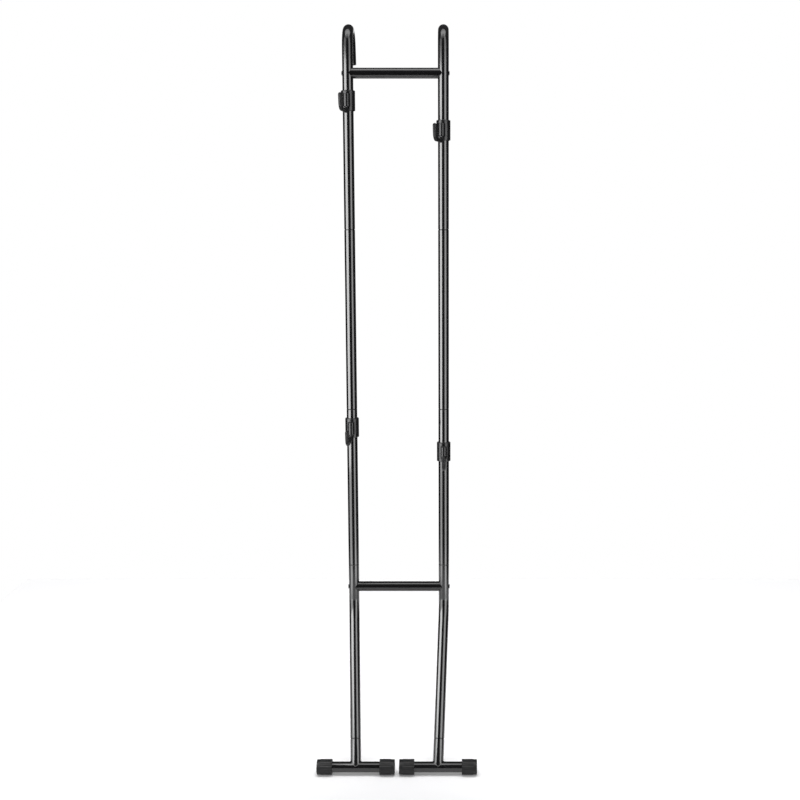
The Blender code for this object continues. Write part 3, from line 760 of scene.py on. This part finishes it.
def leg_line(side):
    """The foot's middle, the corner of the bend and the slanting direction between them."""
    foot = Vector((side * FOOT_X, FOOT_Y, FOOT_Z))
    corner = Vector((side * UPRIGHT_X, UPRIGHT_Y, BEND_HEIGHT))
    return foot, corner, (corner - foot).normalized()


def leg(name, side):
    foot, corner, rise = leg_line(side)
    angle = rise.angle(Z)
    reach = LEG_BEND_R * sin(angle / 2) / cos(angle / 2)
    start = foot + rise * STUB_LENGTH
    bend = corner - rise * reach
    piece = start_ring(name, start, rise)
    extrude(bend - start)
    inward = (Z - rise * rise.dot(Z)).normalized()
    spin(bend + inward * LEG_BEND_R, rise.cross(Z).normalized(), angle, LEG_BEND_STEPS)
    top = corner + Z * reach
    extrude(Z * (LOWER_JOINT - SHOULDER - top.z))
    swage(Vector((corner.x, corner.y, LOWER_JOINT - SHOULDER)), Z)
    return finish_tube(piece)


make_pair(leg, "leg_tube", "black_tube")

# %% [markdown]
# A foot is a short cross tube with a stub welded to its middle. Two tubes of one radius meet in
# a saddle line, and the welder's bead lies along it. The bead is a ring of points set on that
# line by its own formula, given a round section as a curve, and sunk half into the tubes.

# %% The feet
FOOT_LENGTH = 0.234
CAP_END = 0.0045
BEAD_R = 0.0018
BEAD_POINTS = 48
BEAD_ROUNDNESS = 4


def weld_bead(name, foot, rise):
    """A bead on the saddle line between the stub and the cross tube."""
    sideways = (X - rise * rise.dot(X)).normalized()
    across = rise.cross(sideways)
    points = []
    for i in range(BEAD_POINTS):
        turn = 2 * pi * i / BEAD_POINTS
        offset = (sideways * cos(turn) + across * sin(turn)) * TUBE_R
        # distance up the stub at which this line of its skin leaves the cross tube
        a = rise.y**2 + rise.z**2
        b = offset.y * rise.y + offset.z * rise.z
        c = offset.y**2 + offset.z**2 - TUBE_R**2
        up = (-b + max(b * b - a * c, 0) ** 0.5) / a
        points.append(foot + offset + rise * up)
    curve = bpy.data.curves.new(name, "CURVE")
    curve.dimensions = "3D"
    curve.bevel_depth = BEAD_R
    curve.bevel_resolution = BEAD_ROUNDNESS
    line = curve.splines.new("POLY")
    line.points.add(len(points) - 1)
    line.use_cyclic_u = True
    for point, place in zip(line.points, points):
        point.co = (*place, 1)
    bead = bpy.data.objects.new(name, curve)
    bpy.context.scene.collection.objects.link(bead)
    only(bead)
    bpy.ops.object.convert(target="MESH")
    return bpy.context.active_object


def foot_piece(name, side):
    foot, _, rise = leg_line(side)
    half = X * (FOOT_LENGTH / 2 - CAP_END - GAP)
    piece = closed_cylinder(name, foot - half, foot + half, TUBE_R)
    top = foot + rise * STUB_LENGTH
    stub = start_ring("stub", foot, rise)
    bpy.ops.mesh.edge_face_add()
    extrude(rise * (STUB_LENGTH - SHOULDER))
    swage(top - rise * SHOULDER, rise)
    done()
    face_out(stub)
    cut(piece, stub, "UNION")
    bore = TUBE_R - TUBE_WALL
    cut(piece, closed_cylinder("bore", foot - half * OVERCUT, foot + half * OVERCUT, bore))
    floor_of_well = foot + rise * (TUBE_R + TUBE_WALL)
    mouth = top + rise * NECK_LENGTH * OVERCUT
    cut(piece, closed_cylinder("bore", floor_of_well, mouth, NECK_R - TUBE_WALL))
    bead = weld_bead("bead", foot, rise)
    only(bead, piece)
    bpy.ops.object.join()
    return smooth(piece, CUT_SHADE_ANGLE)


make_pair(foot_piece, "foot", "black_tube")

# %% [markdown]
# Where a cane ends, a moulded plug closes it. It is a flange with a spigot, so a short cylinder
# is inset on the side towards the tube and pushed in, and the flange's rim is rounded.

# %% The end plugs
PLUG_FLANGE = 0.0025
PLUG_LENGTH = 0.014
PLUG_EDGE = 0.0007


def plug(name, side):
    base = Vector((side * UPRIGHT_X, UPRIGHT_Y, BEND_START))
    tail = Y * sin(CANE_ANGLE) + Z * cos(CANE_ANGLE)
    middle = base + Y * CANE_R
    end = middle - Matrix.Rotation(-CANE_ANGLE, 3, "X") @ Y * CANE_R + tail * (CANE_TAIL + GAP)
    piece = closed_cylinder(name, end, end + tail * PLUG_FLANGE, TUBE_R)
    edit(piece)
    pick(piece, "FACE", lambda m, f: looks(f, -tail))
    bpy.ops.mesh.inset(thickness=TUBE_R - NECK_R)
    extrude(tail * -PLUG_LENGTH)
    done()
    soften(piece, PLUG_EDGE, 3)
    return smooth(piece)


make_pair(plug, "cane_plug", "plug_plastic")

# %% [markdown]
# The rubber caps grip the floor with ribs. Six points go round for each rib. Three of them make
# its top, the middle one drawn in a little so that the top lies flat, and the other three are
# drawn in further as a rounded groove, by scaling them towards the cap's axis. One cap is
# modelled, and the four on the stand are copies.

# %% The foot caps
CAP_R = 0.023
CAP_LENGTH = 0.0455
CAP_BAND = 0.0105
RIBS = 16
RIB_STEPS = 6
GROOVE = 0.0012
GROOVE_SIDE = GROOVE * 0.68
CAP_ROUND = 0.0024
CAP_SHADE_ANGLE = 42
CAP_STEP = 2 * pi / (RIBS * RIB_STEPS)
# how far each point of a rib is drawn in, counted from the middle of its top
SINK = {0: CAP_R * (1 - cos(CAP_STEP)), 2: GROOVE_SIDE, 3: GROOVE, 4: GROOVE_SIDE}


def rib_place(point):
    """Which of the points of a rib this is, counted from the one that faces down."""
    return round(atan2(point.y, -point.z) / CAP_STEP) % RIB_STEPS


def cap_model():
    piece = closed_cylinder("cap_model", (0, 0, 0), (CAP_LENGTH, 0, 0), CAP_R, RIBS * RIB_STEPS)
    band = CAP_LENGTH - CAP_BAND
    edit(piece)
    cut_rings(X, band - GROOVE / 2, band)
    for at, depth in SINK.items():
        pick(piece, "VERT", lambda m, v: m.x < band - GROOVE / 4 and rib_place(m) == at)
        resize((1, 1 - depth / CAP_R, 1 - depth / CAP_R), (0, 0, 0))
    pick(piece, "VERT", lambda m, v: m.x > band - GROOVE / 4)
    resize((1, 1 - GROOVE / 2 / CAP_R, 1 - GROOVE / 2 / CAP_R), (0, 0, 0))
    pick(piece, "EDGE", lambda m, e: min(v.co.x for v in e.verts) > CAP_LENGTH - GAP)
    bpy.ops.mesh.bevel(offset=CAP_ROUND, segments=5, affect="EDGES")
    done()
    cut(piece, closed_cylinder("bore", (-CUT_PAST, 0, 0), (CAP_LENGTH - CAP_END, 0, 0), TUBE_R + GAP))
    return smooth(piece, CAP_SHADE_ANGLE)


model = cap_model()
for label, side in SIDES.items():
    foot, _, _ = leg_line(side)
    for place_name, outward in (("outer", side), ("inner", -side)):
        node = f"foot_cap_{label}_{place_name}"
        mouth = foot + X * outward * (FOOT_LENGTH / 2 - CAP_LENGTH)
        turn = Matrix.Rotation(0 if outward > 0 else pi, 4, "Z")
        stand_in(copy_to(model, f"fine_{node}", Matrix.Translation(mouth) @ turn), "cap_rubber", node)
bpy.data.objects.remove(model)

# %% [markdown]
# ## Crossbars
# A crossbar is cut to a saddle at both ends, so that it sits round the uprights and can't turn.
# A screw goes through each upright into an insert in the bar. Only its low domed head shows.

# %% The crossbars
CROSSBAR_R = 0.0155
SADDLE_CUT = 0.03


def crossbar(name, height):
    half = X * UPRIGHT_X
    middle = Vector((0, UPRIGHT_Y, height))
    piece = closed_cylinder(name, middle - half, middle + half, CROSSBAR_R)
    reach = half * OVERCUT
    cut(piece, closed_cylinder("bore", middle - reach, middle + reach, CROSSBAR_R - TUBE_WALL))
    for side in SIDES.values():
        at = middle + half * side
        up = Z * SADDLE_CUT
        cut(piece, closed_cylinder("saddle", at - up, at + up, TUBE_R + GAP, 2 * ROUND))
    return smooth(piece, CUT_SHADE_ANGLE)


LEVELS = {}
for level in ("upper", "lower"):
    node = f"crossbar_{level}"
    low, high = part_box(node)
    LEVELS[level] = (low.z + high.z) / 2
    stand_in(crossbar(f"fine_{node}", LEVELS[level]), "black_tube", node)

# %% The screws through the uprights
SCREW_R = 0.004
SCREW_HEAD_R = 0.0068
SCREW_HEAD_HEIGHT = 0.0022
SCREW_STRAIGHT = SCREW_HEAD_HEIGHT * 0.35
IN_INSERT = 0.018
SCREW_LENGTH = 2 * (TUBE_R + GAP) + IN_INSERT
SCREW_SIDES = 48
DOME_STEPS = 6
SOCKET_R = 0.0023
SOCKET_FLOOR = 0.0006
SOCKET_MOUTH = 0.004


def dome(radius, height, steps):
    """Draw the selected face up into a low dome, ring by ring."""
    last = pi / 2
    for i in range(steps):
        now = pi / 2 * (1 - (i + 1) / (steps + 1))
        extrude(Z * height * (cos(now) - cos(last)))
        ratio = sin(now) / sin(last)
        resize((ratio, ratio, 1), (0, 0, 0))
        last = now


def screw_model():
    piece = closed_cylinder("screw_model", Z * 0, Z * SCREW_STRAIGHT, SCREW_HEAD_R, SCREW_SIDES)
    edit(piece)
    pick(piece, "FACE", lambda m, f: looks(f, -Z))
    bpy.ops.mesh.inset(thickness=SCREW_HEAD_R - SCREW_R)
    extrude(Z * -SCREW_LENGTH)
    pick(piece, "FACE", lambda m, f: looks(f, Z))
    dome(SCREW_HEAD_R, SCREW_HEAD_HEIGHT - SCREW_STRAIGHT, DOME_STEPS)
    done()
    cut(piece, closed_cylinder("socket", Z * SOCKET_FLOOR, Z * SOCKET_MOUTH, SOCKET_R, 6))
    return smooth(piece, CUT_SHADE_ANGLE)


model = screw_model()
for level, height in LEVELS.items():
    for label, side in SIDES.items():
        node = f"crossbar_screw_{level}_{label}"
        seat = Vector((side * (UPRIGHT_X + TUBE_R + GAP), UPRIGHT_Y, height))
        turn = Z.rotation_difference(X * side).to_matrix().to_4x4()
        stand_in(copy_to(model, f"fine_{node}", Matrix.Translation(seat) @ turn), "black_steel", node)
bpy.data.objects.remove(model)

# %% [markdown]
# ## The four arms
# All four arms are alike, so each of their pieces is modelled once about the upright's axis,
# with the sleeve's middle at height zero and the hook pointing straight forward. The frame's
# joints tell where each arm stands: a slide joint gives its height, and the middle of a
# swivel's range is straight ahead, so the range also tells how far the arm is turned at rest.

# %% Where the arms are
ARMS = {}
for joint in frame["joints"]:
    if joint["type"] == "hinge":
        label = joint["name"].replace("swivel_", "")
        rest = -sum(joint["range_deg"]) / 2
        at = Vector(joint["pos_m"])
        ARMS[label] = Matrix.Translation(at) @ Matrix.Rotation(radians(rest), 4, "Z")
        print(label, "at height", round(at.z, 3), "turned", rest, "degrees")

# %% [markdown]
# The clamp is a moulding: a split sleeve, a round-nosed boss in front that holds the hook's
# shank, and two lugs behind that the pinch screws draw together. Its skin is one surface, so
# boss and lugs are pulled out of the sleeve's own faces and flattened. Then the nose and the
# lugs' corners get wide bevels, and one small bevel softens all edges, inside corners too.

# %% The clamp's outside
PULL = 0.01
CLAMP_R = 0.020795
CLAMP_HALF = 0.029
CLAMP_BORE = 0.0178
CLAMP_STEPS = 66
CLAMP_STEP = 2 * pi / CLAMP_STEPS
CLAMP_EDGE = 0.0011
CLAMP_EDGE_ANGLE = 35
# how many of the sleeve's faces the boss and the lugs take, to each side of the middle
BOSS_FACES, LUG_FACES = 5, 4
BOSS_R = 0.0095
BOSS_BOTTOM = -0.018
BOSS_TOP = 0.019
SHANK_Y = -0.027195
NOSE_Y = SHANK_Y - BOSS_R
NOSE_ROUND = 0.0092
LUG_X = 0.00775
LUG_BACK = 0.035795
LUG_HALF = 0.023
LUG_CORNER = 0.006
FLAT_ANGLE = radians(0.5)


def pull_out(direction, plane):
    """Pull the selected faces out of the skin, and flatten them on a plane across Y."""
    extrude(direction * PULL)
    resize((1, 0, 1), (0, plane, 0))


def clamp_skin():
    piece = closed_cylinder("clamp_model", -Z * CLAMP_HALF, Z * CLAMP_HALF, CLAMP_R, CLAMP_STEPS)
    edit(piece)
    cut_rings(Z, BOSS_BOTTOM, BOSS_TOP, LUG_HALF)
    front = CLAMP_R * sin(BOSS_FACES * CLAMP_STEP)
    pick(piece, "FACE", lambda m, f: m.y < 0 and abs(m.x) < front and BOSS_BOTTOM < m.z < BOSS_TOP)
    pull_out(-Y, NOSE_Y)
    back = CLAMP_R * sin(LUG_FACES * CLAMP_STEP)
    pick(piece, "FACE", lambda m, f: m.y > 0 and abs(m.x) < back and abs(m.z) < LUG_HALF)
    pull_out(Y, LUG_BACK)
    bpy.ops.mesh.select_all(action="SELECT")
    bpy.ops.mesh.dissolve_limited(angle_limit=FLAT_ANGLE)
    pick(piece, "EDGE", lambda m, e: abs(m.y - NOSE_Y) < GAP and abs(m.x) > front - GAP)
    bpy.ops.mesh.bevel(offset=NOSE_ROUND, segments=10, affect="EDGES")
    pick(piece, "EDGE", lambda m, e: abs(m.y - LUG_BACK) < GAP and abs(m.z) > LUG_HALF - GAP)
    bpy.ops.mesh.bevel(offset=LUG_CORNER, segments=6, affect="EDGES")
    done()
    return soften(piece, CLAMP_EDGE, 3, CLAMP_EDGE_ANGLE)


# %% The clamp's bore, slit and holes
SLIT = 0.0025
PINCH_Y = 0.028295
PINCH_HEIGHTS = {"top": 0.013, "bottom": -0.013}
PINCH_R = 0.003
ROD_R = 0.0045
# how much of the boss is left closed above the shank
ROOF = 0.0047
HOLE_SIDES = 24
# how far the cutters reach from the middle of the clamp, and those of the holes from the slit
CLAMP_CUT = 0.04
HOLE_CUT = 0.012
# how deep the slits of the clamp and the liner are cut, from the upright's axis
CLAMP_SLIT = 0.05
LINER_SLIT = 0.04


def slit_cutter(deep):
    """A slab that starts at the upright's axis and reaches this far back."""
    return slab("slit", (SLIT, deep, 2 * CLAMP_CUT), Y * deep / 2)


def clamp_model():
    piece = clamp_skin()
    cut(piece, closed_cylinder("bore", -Z * CLAMP_CUT, Z * CLAMP_CUT, CLAMP_BORE))
    cut(piece, slit_cutter(CLAMP_SLIT))
    shank = Vector((0, SHANK_Y, 0))
    seat = shank + Z * (BOSS_TOP - ROOF)
    cut(piece, closed_cylinder("shank_hole", shank - Z * CLAMP_CUT, seat, ROD_R + GAP, HOLE_SIDES))
    for height in PINCH_HEIGHTS.values():
        at = Vector((0, PINCH_Y, height))
        out = X * HOLE_CUT
        cut(piece, closed_cylinder("hole", at - out, at + out, PINCH_R + GAP, HOLE_SIDES))
    return smooth(piece, CUT_SHADE_ANGLE)


def hand_out(model, node_name, slot, body="arm", places=ARMS):
    """Copy a model to all four arms, each copy for the node of its arm."""
    worst = 0
    for label, place in places.items():
        node = f"{node_name}_{label}"
        piece = copy_to(model, f"fine_{node}", place)
        dress(piece, f"{body}_{label}", slot, node)
        worst = max(worst, compare(piece, node))
    bpy.data.objects.remove(model)
    print(node_name, "differs from its nodes by", round(worst, 2), "mm")


hand_out(clamp_model(), "clamp", "clamp_plastic")

# %% [markdown]
# Inside the clamp a thin split liner keeps it from scratching the coat. It stands a millimetre
# out of the sleeve at both ends, and is a ring of skin with a wall and a slit.

# %% The liner
LINER_R = 0.0176
LINER_WALL = 0.0012
LINER_OUT = 0.001
LINER_HALF = CLAMP_HALF + LINER_OUT


def liner_model():
    piece = start_ring("liner_model", -Z * LINER_HALF, Z, LINER_R)
    extrude(Z * LINER_HALF * 2)
    finish_tube(piece, LINER_WALL, THIN_RIM_EDGE)
    return smooth(cut(piece, slit_cutter(LINER_SLIT)))


# the liner doesn't turn with its arm, so its copies are placed by the joints' points alone
UNTURNED = {label: Matrix.Translation(place.translation) for label, place in ARMS.items()}
hand_out(liner_model(), "clamp_liner", "liner_plastic", "liner", UNTURNED)

# %% [markdown]
# The hook is a steel rod in a soft sheath, bent twice. The sheath is drawn like the tubes, down
# out of the boss, forward, and up again, and its tip is closed by rings that follow a quarter
# circle. The rod inside it is hidden all the way, so its CAD node stays as it is.

# %% The hook's sheath
SHEATH_R = 0.0059
SHEATH_WALL = 0.0011
SHEATH_SIDES = 32
ARM_Z = -0.032
# the radius of each bend, and the steps that it is spun in
BACK_BEND, BACK_STEPS = 0.012, 12
TIP_BEND, TIP_STEPS = 0.020, 16
TIP_LEAN = radians(9)
TIP_LINE = Z * cos(TIP_LEAN) - Y * sin(TIP_LEAN)
REACH = 0.132
TIP_TOP = 0.012
TIP_RINGS = 7


def sheath_model():
    mouth = Vector((0, SHANK_Y, BOSS_BOTTOM - GAP))
    turn = pi / 2 - TIP_LEAN
    dome_start = Vector((0, -REACH, TIP_TOP)) - TIP_LINE * SHEATH_R / TIP_LINE.z
    bend_rise = TIP_BEND * (1 - cos(turn))
    bend_end = dome_start - TIP_LINE * (dome_start.z - ARM_Z - bend_rise) / TIP_LINE.z
    bend_middle = Vector((0, bend_end.y + TIP_BEND * sin(turn), ARM_Z + TIP_BEND))
    piece = start_ring("sheath_model", mouth, -Z, SHEATH_R, SHEATH_SIDES)
    extrude(Z * (ARM_Z + BACK_BEND - mouth.z))
    spin(Vector((0, SHANK_Y - BACK_BEND, ARM_Z + BACK_BEND)), -X, pi / 2, BACK_STEPS)
    extrude(Y * (bend_middle.y - SHANK_Y + BACK_BEND))
    spin(bend_middle, -X, turn, TIP_STEPS)
    extrude(dome_start - bend_end)
    last = 0
    for i in range(1, TIP_RINGS):
        now = pi / 2 * i / TIP_RINGS
        extrude(TIP_LINE * SHEATH_R * (sin(now) - sin(last)))
        ratio = cos(now) / cos(last)
        resize((ratio, ratio, ratio), dome_start + TIP_LINE * SHEATH_R * sin(now))
        last = now
    extrude(TIP_LINE * SHEATH_R * (1 - sin(last)))
    bpy.ops.mesh.merge(type="CENTER")
    return finish_tube(piece, SHEATH_WALL, THIN_RIM_EDGE)


hand_out(sheath_model(), "hook_sheath", "sheath_rubber")

# %% [markdown]
# The pinch screws are socket cap screws. The flutes that give a grip on the head are every
# second point of its side drawn in a little, and the key's socket is a six-sided cut. A nut is
# a six-sided block whose corners are turned off by a wider round one, as the real ones are.

# %% The pinch screws and their nuts
PINCH_HEAD_R = 0.005
PINCH_HEAD = 0.0055
PAST_NUT = 0.0015
NUT_HEIGHT = 0.005
NUT_FLAT = 0.005
# the round block that takes a nut's corners off is this many times as wide as its flats
NUT_TURNED = 1.12
NUT_EDGE = 0.0006
PINCH_GRIP = 2 * LUG_X + 2 * GAP + NUT_HEIGHT + PAST_NUT
FLUTES = 30
# shares of the head's height at which the flutes start and end
FLUTE_START, FLUTE_END = 0.1, 0.85
FLUTE_DRAWN_IN = 0.955
HEAD_FLAT = 0.0006
HEAD_DRAWN_IN = 0.94
HEX_DEPTH = 0.0028
HEX_R = 0.0029
HEX_MOUTH = 0.01


def pinch_screw_model():
    piece = closed_cylinder("pinch_model", (0, 0, 0), (0, 0, PINCH_HEAD), PINCH_HEAD_R, 2 * FLUTES)
    edit(piece)
    cut_rings(Z, PINCH_HEAD * FLUTE_START, PINCH_HEAD * FLUTE_END)
    half_step = pi / FLUTES

    def is_flute(m):
        return round(atan2(m.y, m.x) / half_step) % 2 == 1

    pick(piece, "VERT", lambda m, v: GAP < m.z < PINCH_HEAD - GAP and is_flute(m))
    resize((FLUTE_DRAWN_IN, FLUTE_DRAWN_IN, 1), (0, 0, 0))
    pick(piece, "FACE", lambda m, f: looks(f, Z))
    bpy.ops.mesh.inset(thickness=HEAD_FLAT)
    pick(piece, "EDGE", lambda m, e: m.z > PINCH_HEAD - GAP)
    resize((HEAD_DRAWN_IN, HEAD_DRAWN_IN, 1), (0, 0, PINCH_HEAD))
    pick(piece, "FACE", lambda m, f: looks(f, -Z))
    bpy.ops.mesh.inset(thickness=PINCH_HEAD_R - PINCH_R)
    extrude(Z * -PINCH_GRIP)
    done()
    cut(piece, closed_cylinder("socket", Z * (PINCH_HEAD - HEX_DEPTH), Z * HEX_MOUTH, HEX_R, 6))
    return smooth(piece, CUT_SHADE_ANGLE)


def nut_model():
    top = Z * NUT_HEIGHT
    piece = closed_cylinder("nut_model", Z * 0, top, NUT_FLAT / cos(pi / 6), 6)
    turned = soften(closed_cylinder("turned", Z * 0, top, NUT_FLAT * NUT_TURNED), NUT_EDGE, 1)
    cut(piece, turned, "INTERSECT")
    cut(piece, closed_cylinder("thread", -Z * CUT_PAST, Z * 2 * CUT_PAST, PINCH_R + GAP / 2, HOLE_SIDES))
    return smooth(piece, CUT_SHADE_ANGLE)


def hand_out_fasteners(model, node_name, seat_x, facing):
    """Copy a fastener to the top and bottom holes of every arm."""
    turn = Z.rotation_difference(facing).to_matrix().to_4x4()
    for label, place in ARMS.items():
        for end, height in PINCH_HEIGHTS.items():
            node = f"{node_name}_{label}_{end}"
            seat = Matrix.Translation((seat_x, PINCH_Y, height))
            piece = copy_to(model, f"fine_{node}", place @ seat @ turn)
            dress(piece, f"arm_{label}", "black_steel", node)
    bpy.data.objects.remove(model)
    print(node_name, "differs from its node by", round(compare(piece, node), 2), "mm")


hand_out_fasteners(pinch_screw_model(), "pinch_screw", LUG_X + GAP, X)
hand_out_fasteners(nut_model(), "pinch_nut", -LUG_X - GAP, -X)

# %% [markdown]
# ## What stays from the CAD
# The hook rods and the threaded inserts are hidden inside other pieces. They keep their CAD
# shape and only get the finish of drawn steel in their material slots.

# %% Finishes for the nodes that stay
for name, node in frame["nodes"].items():
    if name.startswith(("hook_rod", "crossbar_insert")):
        node.data.materials.clear()
        node.data.materials.append(FINISH["bare_steel"])
